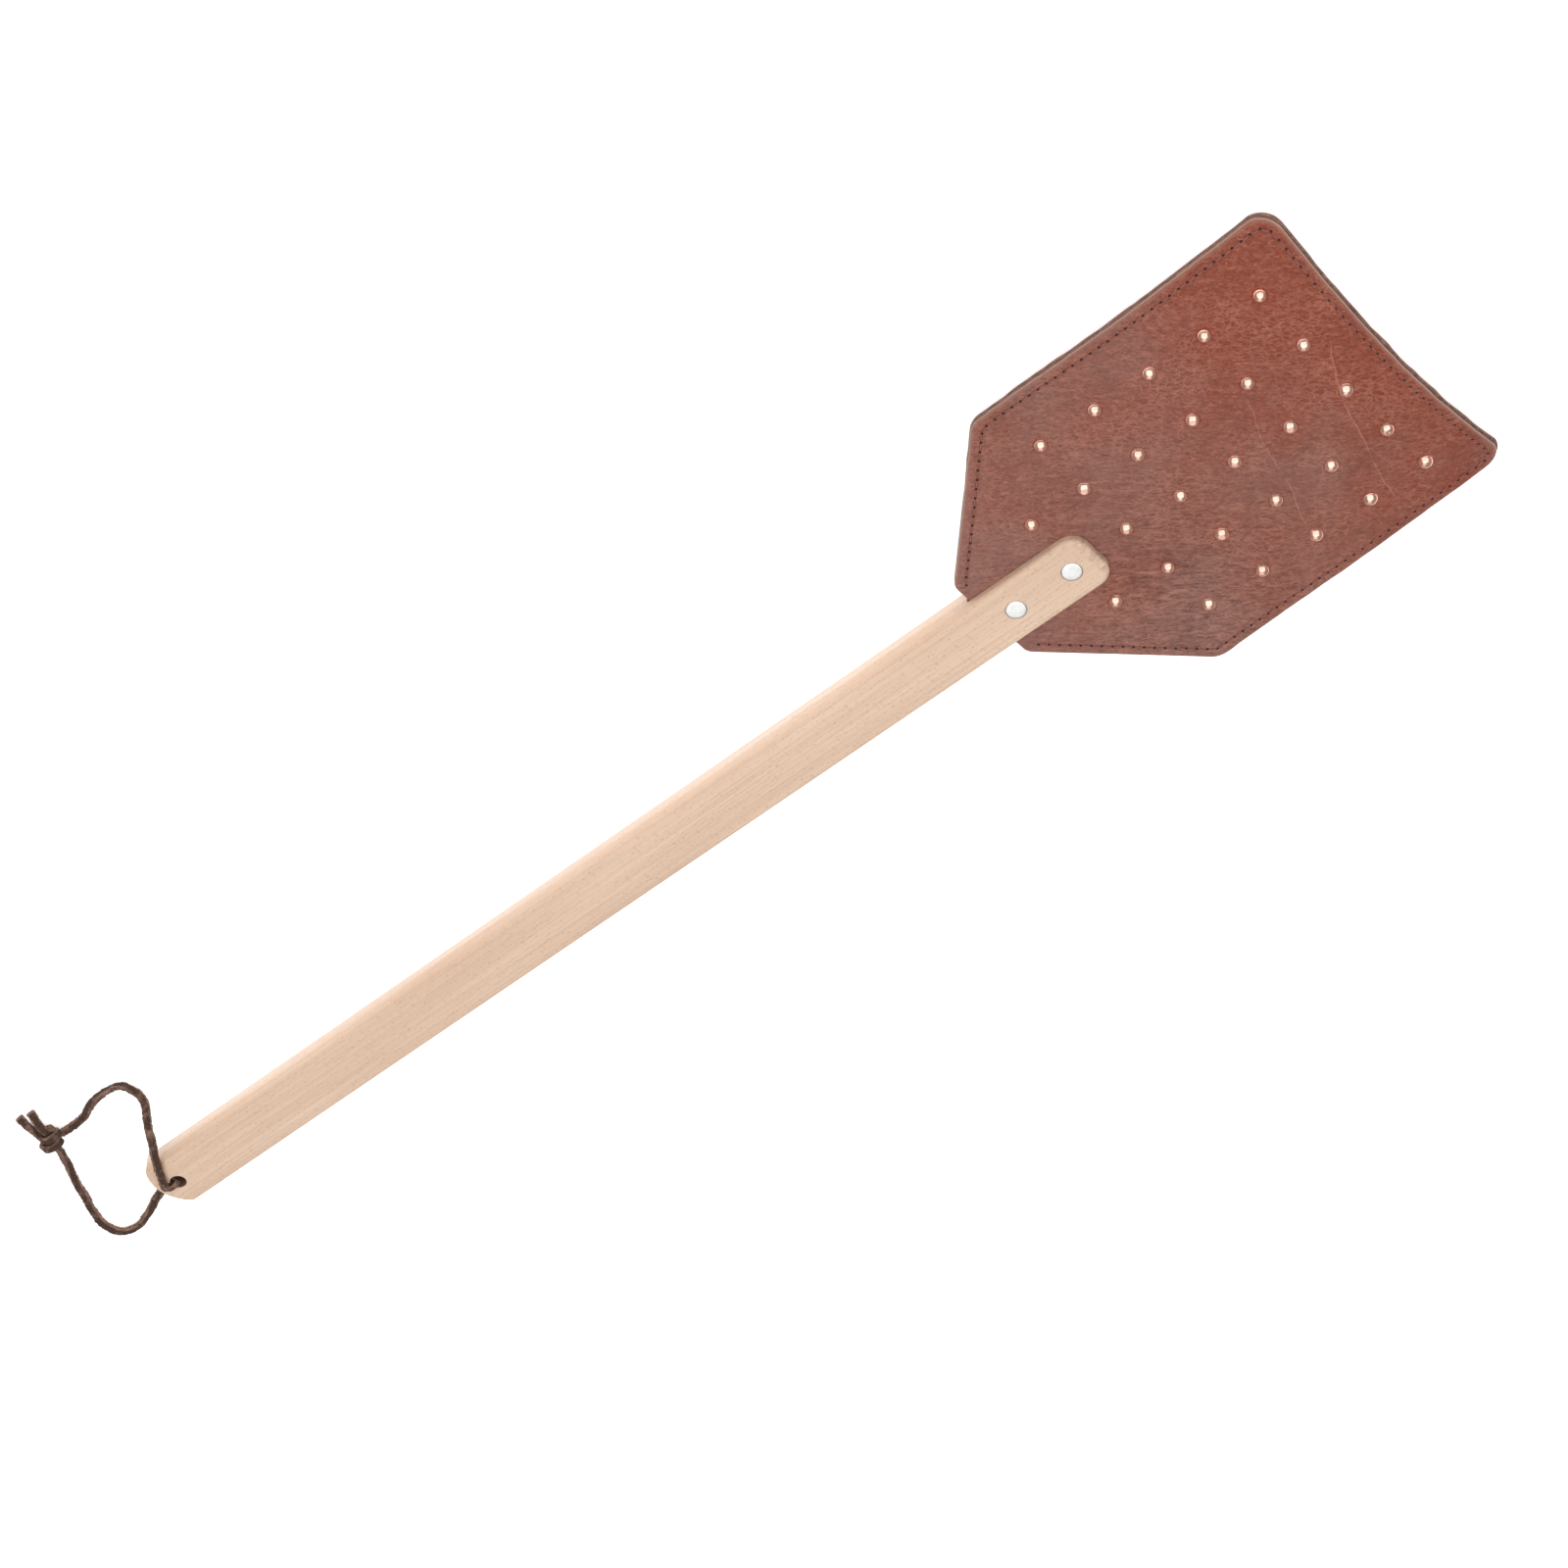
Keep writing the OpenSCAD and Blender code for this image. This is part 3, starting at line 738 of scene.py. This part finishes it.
STUD_PITCH, STUD_MARGIN = 18 * MM, 16 * MM
STUD_HEAD_R, STUD_SHANK_R, STUD_TAIL_R = 2.15 * MM, 0.9 * MM, 1.4 * MM
STUD_DOME, STUD_SINK = 1.6 * MM, 0.16 * MM


def stud_place(column, row):
    """Column 1 is nearest the far edge, and row 1 is on the +Y side. Column 6 is by the neck."""
    return HEAD_X1 - STUD_MARGIN - (column - 1) * STUD_PITCH, (3 - row) * STUD_PITCH


STUDS = [(c, r) for c in range(1, 6) for r in range(1, 6)]
NECK_STUDS = [("left", 6, 2), ("right", 6, 4)]
STUD_PLACES = [stud_place(c, r) for c, r in STUDS] + [stud_place(c, r) for _, c, r in NECK_STUDS]


def seam_line(spacing):
    """Points at that spacing along the stitching, from the neck round the far edge to the neck."""
    line = [Vector(place) for place in head_outline(SEAM_IN, SEAM_SHOULDER_R, 14)]
    out, walked, due = [], 0.0, 0.0
    for a, b in zip(line, line[1:]):
        step = (b - a).length
        while step > 0 and due <= walked + step:
            out.append(a + (b - a) * ((due - walked) / step))
            due += spacing
        walked += step
    return out


SEAM_POINTS = seam_line(STITCH_PITCH)
OUTLINE = head_outline(0.0, SHOULDER_R)
SEAM_ARRAY = np.array([tuple(p) for p in SEAM_POINTS])


def fold_depth(x, y):
    """How strongly the leather is wrinkled, from 0 to 1: most beside the stick's slotted end."""
    beside = np.hypot(x - (TIP_X + 8 * MM), (y + 26 * MM) * 0.8)
    return 0.22 + 0.78 * np.exp(-((beside / (30 * MM)) ** 2))


def relief(x, y, side):
    """How far the leather's outer face stands above or below its plain thickness."""
    edge = distance_to(x, y, OUTLINE)
    seam = distance_to(x, y, SEAM_ARRAY, closed=False)
    out = -0.16 * MM * np.exp(-((seam / (0.8 * MM)) ** 2))
    out += 0.10 * MM * np.exp(-(((edge - 1.4 * MM) / (0.9 * MM)) ** 2))
    for sx, sy in STUD_PLACES:
        away = np.hypot(x - sx, y - sy)
        out -= 0.34 * MM * np.exp(-((away / (2.6 * MM)) ** 2))
        out += 0.06 * MM * np.exp(-(((away - 4 * MM) / (1.5 * MM)) ** 2))
    # Fine wrinkles run across the leather, deepest beside the stick's slotted end.
    turn = math.radians(WRINKLE_TURN)
    along = x * math.cos(turn) - y * math.sin(turn)
    across = x * math.sin(turn) + y * math.cos(turn)
    bent = across + 2.0 * MM * noise_field(x, y, 16 * MM, 16 * MM, 9.1 + side)
    folds = noise_field(along, bent, 9 * MM, 1.9 * MM, 5.3 + side, 2)
    depth = 0.17 * fold_depth(x, y)
    if side > 0:
        # The stick's upper cheek has pressed the front flat.
        under_stick = (x < TIP_X + 1 * MM) & (np.abs(y) < STICK_HALF + 1 * MM)
        depth = np.where(under_stick, 0.0, depth)
    out += depth * MM * np.minimum(folds, 0.25) * smooth_step(edge, 1 * MM, 5 * MM)
    in_slot = (x < TIP_X) & (np.abs(y) < STICK_HALF)
    return np.where(in_slot, np.minimum(out, 0.0), out)


def outer_z(x, y, side):
    """Height of the leather's outer face, in front for side 1 and behind for side -1."""
    return middle_z(x, y) + side * (LAYER_T + relief(x, y, side))


def edge_round(edge, radius):
    """How far a face drops within that radius of the cut edge."""
    inner = np.clip(radius - edge, 0, radius)
    return radius - np.sqrt(np.maximum(0.0, radius**2 - inner**2))


GRID = 0.95 * MM
EDGE_STEPS = [0.0, 0.12 * MM, 0.32 * MM, 0.62 * MM]


def stations():
    """Places along X: close together at both ends and round the far corners."""
    first, last = HEAD_X0, HEAD_X1 - FAR_R
    count = int((last - first) / GRID)
    middle = np.linspace(first + 1 * MM, last, count)
    turns = np.radians(np.linspace(0, 90, 15))[1:]
    near = [first + s for s in EDGE_STEPS]
    return np.array(near + list(middle) + list(last + FAR_R * np.sin(turns)))


def columns():
    """Shares of the half width from -1 to 1, close together at the two edges."""
    inner = 1 - 1.1 * MM / HALF_W
    near = [1 - s / HALF_W for s in EDGE_STEPS]
    half = int(2 * HALF_W / GRID)
    return np.array([-s for s in near] + list(np.linspace(-inner, inner, half)) + near[::-1])


def layer_faces(n, m):
    """The faces of a layer of n by m points above as many below, and which of them are raw."""
    under = n * m
    faces, kinds = [], []
    for i in range(n - 1):
        for j in range(m - 1):
            a = i * m + j
            faces.append((a, a + 1, a + m + 1, a + m))
            faces.append((under + a, under + a + m, under + a + m + 1, under + a + 1))
            at_edge = min(j, m - 2 - j) == 0 or i in (0, n - 2)
            kinds += [1 if at_edge else 0, 1]
    border = list(range(m)) + [i * m + m - 1 for i in range(1, n)]
    border += [(n - 1) * m + j for j in range(m - 2, -1, -1)]
    border += [i * m for i in range(n - 2, 0, -1)]
    for a, b in zip(border, border[1:] + border[:1]):
        faces.append((a, b, under + b, under + a))
        kinds.append(1)
    return faces, kinds


def make_layer(name, side, nodes, spread):
    """One layer of the leather in one piece, whose cut edge stands out by up to spread."""
    xs, shares = stations(), columns()
    halves = np.array([half_width(x) for x in xs])
    x = np.repeat(xs[:, None], len(shares), 1)
    y = halves[:, None] * shares[None, :]
    edge = distance_to(x, y, OUTLINE)
    outer_round = 0.55 * edge_round(edge, 1.1 * MM)
    inner_round = edge_round(edge, 0.25 * MM)
    middle = middle_z(x, y)
    apart = 0.02 * MM + 0.1 * MM * np.exp(-((edge / (1.5 * MM)) ** 2)) * (
        1 + noise_field(x, y, 11 * MM, 11 * MM, 2.2 + side)
    )
    outer = middle + side * (LAYER_T + relief(x, y, side) - outer_round)
    inner = middle + side * (apart * (x > BEND_X - BEND_HALF) + 0.01 * MM + inner_round)
    # The cut edge wanders a little, and not the same in both layers.
    wander = spread * noise_field(x, y, 7 * MM, 7 * MM, 8.8 + side, 2)
    wander *= np.exp(-((edge / (2 * MM)) ** 2)) * (x > TIP_X - 20 * MM)
    rim = np.exp(-((edge / (0.8 * MM)) ** 2))
    fold_strength = fold_depth(x, y)
    away_x, away_y = x - (HEAD_X0 + HEAD_X1) / 2, y
    length = np.maximum(np.hypot(away_x, away_y), 1e-6)
    x, y = x + wander * away_x / length, y + wander * away_y / length
    if side > 0:
        # The front layer stops a little short of the back one at the far edge.
        x = x - FRONT_SHORT * smooth_step(x, HEAD_X1 - 8 * MM, HEAD_X1)
    high = np.stack([x, y, outer], -1).reshape(-1, 3)
    low = np.stack([x, y, inner], -1).reshape(-1, 3)
    faces, kinds = layer_faces(*x.shape)
    layer = new_piece(name, np.vstack([high, low]), faces, [LEATHER, LEATHER_EDGE], kinds, 55)
    keep_rest(layer)
    for attribute, field in (("rim", rim), ("fold_strength", fold_strength)):
        values = np.concatenate([field.ravel(), field.ravel()]).astype(np.float32)
        layer.data.attributes.new(attribute, "FLOAT", "POINT").data.foreach_set("value", values)
    bend_with_flap(layer)
    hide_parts(*nodes)
    return layer


def bend_with_flap(piece):
    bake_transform(piece)


def make_leather():
    for name, side, spread in (("front", 1, 0.16 * MM), ("back", -1, 0.3 * MM)):
        nodes = (f"leather_{name}_root", f"leather_{name}_flap")
        layer = make_layer(f"{name}_leather", side, nodes, spread)


make_leather()


# ---------------------------------------------------------------- stitching
# A stitch's rings: how far along it each one is, how deep, and its radius, in millimetres.
STITCH_RINGS = (
    (0.10, 0.42, 0.22), (0.2, 0.05, 0.30), (0.38, -0.13, 0.34),
    (0.62, -0.13, 0.34), (0.8, 0.05, 0.30), (0.90, 0.42, 0.22),
)
# The same for the needle holes' near-black discs of painted shade: each ring's radius and its
# height.
HOLE_RINGS = ((0.15, 0.10), (0.42, 0.07), (0.52, -0.05), (0.3, -0.3))
STITCH_SIDES, HOLE_SIDES = 6, 8


def stitch(a, b, side):
    """One stitch, which rises out of one needle hole and sinks into the next."""
    along = (b - a).normalized()
    normal = Vector((-along.y, along.x))
    spots = [
        a + (b - a) * share + normal * (0.1 * MM * (share - 0.5)) for share, _, _ in STITCH_RINGS
    ]
    plan = np.array([tuple(spot) for spot in spots])
    heights = outer_z(plan[:, 0], plan[:, 1], side)
    points = []
    for spot, z, (_, sink, radius) in zip(spots, heights, STITCH_RINGS):
        for k in range(STITCH_SIDES):
            turn = 2 * math.pi * k / STITCH_SIDES
            flat = spot + normal * (radius * MM * math.cos(turn))
            points.append((flat.x, flat.y, z - side * sink * MM + radius * MM * math.sin(turn)))
    return points, tube_faces(len(STITCH_RINGS), STITCH_SIDES)


def needle_hole(place, side):
    """A near-black disc of painted shade, which stands in for the shadow at the bottom of a needle
    hole.
    """
    z = outer_z(np.array([place.x]), np.array([place.y]), side)[0]
    points = []
    for radius, height in HOLE_RINGS:
        for k in range(HOLE_SIDES):
            turn = 2 * math.pi * k / HOLE_SIDES
            points.append((
                place.x + radius * MM * math.cos(turn),
                place.y + radius * MM * math.sin(turn),
                z + side * height * MM,
            ))
    return points, tube_faces(len(HOLE_RINGS), HOLE_SIDES)


def make_seam():
    """All the stitches, on both faces, of one thread above and one below."""
    vertices, faces, kinds = [], [], []
    chance = random.Random(11)

    def add(made, kind):
        first = len(vertices)
        vertices.extend(made[0])
        faces.extend(tuple(first + v for v in f) for f in made[1])
        kinds.extend([kind] * len(made[1]))

    def shown(place):
        return place.x > TIP_X + 1 * MM or abs(place.y) > STICK_HALF + 0.8 * MM

    for side in (1, -1):
        for a, b in zip(SEAM_POINTS, SEAM_POINTS[1:]):
            shift = Vector((chance.uniform(-0.07, 0.07), chance.uniform(-0.07, 0.07))) * MM
            if shown(a) and shown(b):
                add(stitch(a + shift, b + shift, side), 0)
        # A disc of painted shade at every needle hole that shows.
        for place in SEAM_POINTS:
            if shown(place):
                add(needle_hole(place, side), 1)
    seam = new_piece("seam_thread", vertices, faces, [THREAD, PAINTED_NEEDLE_HOLE_SHADE], kinds, 70)
    keep_rest(seam)
    bend_with_flap(seam)
    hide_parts("seam_root", "seam_flap")


make_seam()


# ---------------------------------------------------------------- copper studs
def stud_profile(dome, dent):
    """A domed head with a thin rim, a shank, and a rolled tail, from the crown down."""
    cap = (STUD_HEAD_R**2 + dome**2) / (2 * dome)
    head = [(0.02 * MM, dome - dent)]
    for k in range(1, 12):
        r = STUD_HEAD_R * math.sin(math.pi / 2 * k / 12)
        dip = dent * math.exp(-((r / (0.75 * MM)) ** 2))
        head.append((r, dome - cap + math.sqrt(cap**2 - r**2) - dip))
    back = -2 * LAYER_T
    tail = [
        (STUD_HEAD_R, 0.04 * MM), (STUD_HEAD_R * 0.97, -0.12 * MM), (STUD_SHANK_R, -0.2 * MM),
        (STUD_SHANK_R, back + 0.2 * MM), (STUD_TAIL_R * 0.9, back + 0.1 * MM),
        (STUD_TAIL_R, back - 0.12 * MM), (STUD_TAIL_R * 0.86, back - 0.4 * MM),
        (STUD_TAIL_R * 0.62, back - 0.44 * MM), (STUD_TAIL_R * 0.42, back - 0.2 * MM),
        (0.05 * MM, back - 0.12 * MM),
    ]
    return head + tail


def make_stud(name, cad_node, body, column, row, chance):
    """A copper stud, set within a few degrees of square to the leather, and in places dented."""
    x, y = stud_place(column, row)
    spots = np.array([[x, y], [x + MM, y], [x - MM, y], [x, y + MM], [x, y - MM]])
    z = middle_z(spots[:, 0], spots[:, 1])
    slope = Vector((-(z[1] - z[2]) / (2 * MM), -(z[3] - z[4]) / (2 * MM), 1)).normalized()
    lean = Vector((chance.uniform(-0.05, 0.05), chance.uniform(-0.05, 0.05), 0))
    turn = (slope + lean).to_track_quat("Z", "Y").to_matrix().to_4x4()
    dome = STUD_DOME * chance.uniform(0.9, 1.06)
    dent = chance.choice((0.0, 0.0, 0.0, 0.12, 0.3)) * MM
    points, faces = lathe(stud_profile(dome, dent), 28)
    base = Matrix.Translation(Vector((x, y, z[0])) + slope * (LAYER_T - STUD_SINK))
    rough = [p * (1 + 0.012 * wobble(p, 0.9 * MM, column * 7 + row)) for p in points]
    stud = new_piece(name, [base @ turn @ p for p in rough], faces, [COPPER], None, 50)
    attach(stud, body)
    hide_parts(cad_node)


def make_studs():
    chance = random.Random(27)
    for column, row in STUDS:
        make_stud(f"copper_stud_{column}_{row}", f"stud_{column}_{row}", "flap", column, row, chance)
    for end, column, row in NECK_STUDS:
        make_stud(f"copper_stud_neck_{end}", f"stud_neck_{end}", "stick", column, row, chance)


make_studs()


# ---------------------------------------------------------------- aluminium rivets
def make_rivet(name, cad_node, x):
    """A solid pin through the stick, peened nearly flat at both ends."""
    middle, half, r = (STICK_LOW + STICK_TOP) / 2, (STICK_TOP - STICK_LOW) / 2, RIVET_R
    top = [
        (0.05 * MM, 0.13), (0.35 * r, 0.135), (0.62 * r, 0.125), (0.84 * r, 0.09),
        (0.93 * r, 0.04), (0.965 * r, -0.05), (0.975 * r, -0.5),
    ]
    upper = [(radius, half + height * MM) for radius, height in top]
    profile = upper + [(radius, -height) for radius, height in reversed(upper)]
    points, faces = lathe(profile, 48)
    place = Vector((x, 0, middle))
    hammered = [
        p + Vector((0, 0, 0.02 * MM * wobble(p + place, 1.3 * MM, x * 1000))) for p in points
    ]
    rivet = new_piece(name, [p + place for p in hammered], faces, [ALUMINIUM], None, 50)
    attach(rivet, "stick")
    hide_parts(cad_node)


def make_rivets():
    for end, x in zip(("tip", "inner"), RIVET_XS):
        make_rivet(f"aluminium_rivet_{end}", f"rivet_{end}", x)


make_rivets()


# ---------------------------------------------------------------- the beech stick
def stick_outline(inset):
    """The stick's plan, with a curved butt and round corners at the slotted end."""
    steps = 14
    corner_y = STICK_HALF - BUTT_CORNER_R
    reach = BUTT_R - BUTT_CORNER_R
    left, right = (
        math.degrees(math.asin((corner_y + lean) / reach)) for lean in (-BUTT_LEAN, BUTT_LEAN)
    )
    left_x, right_x = (
        BUTT_X + BUTT_R - reach * math.cos(math.radians(a)) for a in (left, right)
    )
    tip_in, corner_in = TIP_X - TIP_CORNER_R, BUTT_CORNER_R - inset
    return [
        *arc(tip_in, STICK_HALF - TIP_CORNER_R, TIP_CORNER_R - inset, 0, 90, steps),
        *arc(left_x, corner_y, corner_in, 90, 180 - left, steps // 2)[:-1],
        *arc(BUTT_X + BUTT_R, BUTT_LEAN, BUTT_R - inset, 180 - left, 180 + right, steps),
        *arc(right_x, -corner_y, corner_in, 180 + right, 270, steps // 2)[1:],
        *arc(tip_in, TIP_CORNER_R - STICK_HALF, TIP_CORNER_R - inset, 270, 360, steps),
    ]


def cut_away(piece, cutter):
    """Takes the cutter's shape out of the piece and deletes the cutter."""
    hole = piece.modifiers.new("cut", "BOOLEAN")
    hole.operation, hole.solver, hole.object = "DIFFERENCE", "EXACT", cutter
    bpy.context.view_layer.update()
    cut_piece = piece.evaluated_get(bpy.context.evaluated_depsgraph_get())
    mesh = bpy.data.meshes.new_from_object(cut_piece)
    piece.modifiers.clear()
    piece.data = mesh
    bpy.data.objects.remove(cutter)


def bore(x, radius, flare):
    """A drilled hole's shape, eased at both faces of the stick."""
    reach = 1 * MM
    profile = [
        (radius + flare + reach * 0.5, STICK_TOP + reach), (radius + flare, STICK_TOP),
        (radius + 0.25 * flare, STICK_TOP - 0.6 * flare), (radius, STICK_TOP - 1.4 * flare),
        (radius, STICK_LOW + 1.4 * flare), (radius + 0.25 * flare, STICK_LOW + 0.6 * flare),
        (radius + flare, STICK_LOW), (radius + flare + reach * 0.5, STICK_LOW - reach),
    ]
    points, faces = lathe(profile, 40)
    return new_piece("bore", [p + Vector((x, 0, 0)) for p in points], faces, [BEECH])


def slot_cutter():
    """The sawn slot's shape, a little roomier than the two layers that it holds."""
    x0, x1 = HEAD_X0 - 0.6 * MM, TIP_X + 5 * MM
    gap, wide = LAYER_T + 0.05 * MM, STICK_HALF + 5 * MM
    plan = ((x0, -wide), (x1, -wide), (x1, wide), (x0, wide))
    corners = [(x, y, MID_Z + way * gap) for way in (-1, 1) for x, y in plan]
    faces = [(3, 2, 1, 0), (4, 5, 6, 7), (0, 1, 5, 4), (1, 2, 6, 5), (2, 3, 7, 6), (3, 0, 4, 7)]
    return new_piece("slot", corners, faces, [BEECH])


def make_stick():
    """A flat beech stick, rounded along every edge, with its slot and its three holes."""
    rings = []
    for degrees in range(90, -1, -15):
        a = math.radians(degrees)
        inset, drop = STICK_ROUND * (1 - math.cos(a)), STICK_ROUND * (1 - math.sin(a))
        rings.append((inset, STICK_LOW + drop))
    rings += [(inset, STICK_LOW + STICK_TOP - z) for inset, z in reversed(rings)]
    points = [Vector((x, y, z)) for inset, z in rings for x, y in stick_outline(inset)]
    faces = tube_faces(len(rings), len(points) // len(rings))
    stick = new_piece("beech_stick", points, faces, [BEECH])
    cut_away(stick, slot_cutter())
    for x in RIVET_XS:
        cut_away(stick, bore(x, RIVET_R * 0.985, 0.08 * MM))
    cut_away(stick, bore(LACE_HOLE_X, LACE_HOLE_R, 0.3 * MM))
    finish_shading(stick, 35)
    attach(stick, "stick")
    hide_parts("handle")


make_stick()


# ---------------------------------------------------------------- floor, light and finish
def make_floor():
    """A pale plain floor, which glows a little so that it stays white under the soft light."""
    made, _, bsdf = new_material("floor")
    bsdf.inputs["Base Color"].default_value = (0.92, 0.92, 0.92, 1)
    bsdf.inputs["Roughness"].default_value = 0.9
    bsdf.inputs["Specular IOR Level"].default_value = 0.1
    bsdf.inputs["Emission Color"].default_value = (1, 1, 1, 1)
    bsdf.inputs["Emission Strength"].default_value = 0.6
    turns = ((-1, -1), (1, -1), (1, 1), (-1, 1))
    corners = [(FLOOR_HALF * x, FLOOR_HALF * y, 0) for x, y in turns]
    floor = new_piece("floor", corners, [(0, 1, 2, 3)], [made])


def make_light(name, place, target, size, power):
    """A soft area light of (width, height) metres and so many watts, turned to its target."""
    data = bpy.data.lights.new(name, "AREA")
    data.shape = "RECTANGLE"
    data.size, data.size_y, data.energy = *size, power
    light = bpy.data.objects.new(name, data)
    bpy.context.collection.objects.link(light)
    aim = (Vector(target) - Vector(place)).to_track_quat("-Z", "Y")
    light.matrix_world = Matrix.Translation(place) @ aim.to_matrix().to_4x4()


def light_scene():
    world = bpy.data.worlds.new("world")
    world.use_nodes = True
    background = world.node_tree.nodes["Background"]
    background.inputs["Color"].default_value = (1, 1, 1, 1)
    background.inputs["Strength"].default_value = 0.36
    bpy.context.scene.world = world
    across = math.radians(VIEW_ACROSS)
    toward = Vector((math.cos(across), math.sin(across), 0))
    for name, out, height, target, size, power in (
        ("softbox", 0.75, 1.3, (0.05, 0, 0), (2.6, 2.2), 26.5),
        ("ceiling", -0.15, 1.4, (0, 0, 0), (1.1, 1.1), 2.6),
        ("fill", -1.0, 1.2, (0, 0, 0), (1.2, 1.2), 3),
    ):
        make_light(name, toward * out + Vector((0, 0, height)), target, size, power)


make_floor()
light_scene()
bpy.context.scene.view_settings.view_transform = "Standard"
